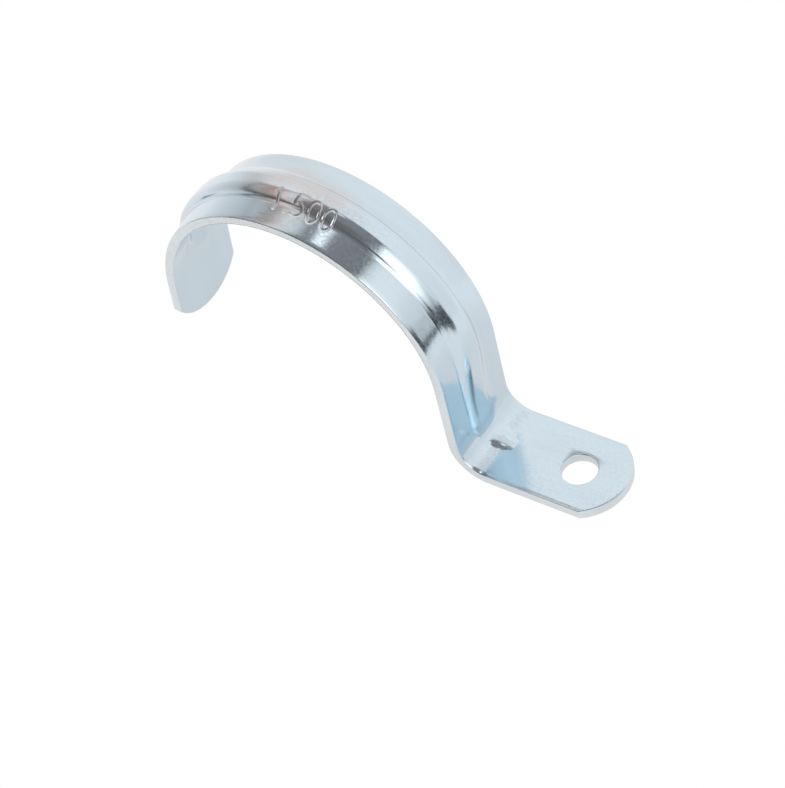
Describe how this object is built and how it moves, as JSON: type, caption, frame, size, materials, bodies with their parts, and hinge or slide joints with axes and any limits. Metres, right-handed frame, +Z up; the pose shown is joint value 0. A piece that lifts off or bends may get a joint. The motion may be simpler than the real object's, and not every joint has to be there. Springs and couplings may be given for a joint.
{
  "type": "conduit strap",
  "caption": "One-hole pipe clamp pressed from steel strip: holds a conduit against a wall with a hooked arch, a stiffening bead and a screw foot.",
  "frame": {"origin": "on the screw hole's axis, in the plane of the foot's underside", "axes": "+X along the foot from the arch towards the foot's tip, +Y across the strip along the conduit, +Z up through the screw hole, away from the wall"},
  "size_m": [0.0773, 0.0144, 0.0456],
  "materials": {
    "zinc_plate": "bright zinc plating, semi-gloss"
  },
  "bodies": {
    "root": {"strap": "zinc_plate"}
  },
  "joints": []
}
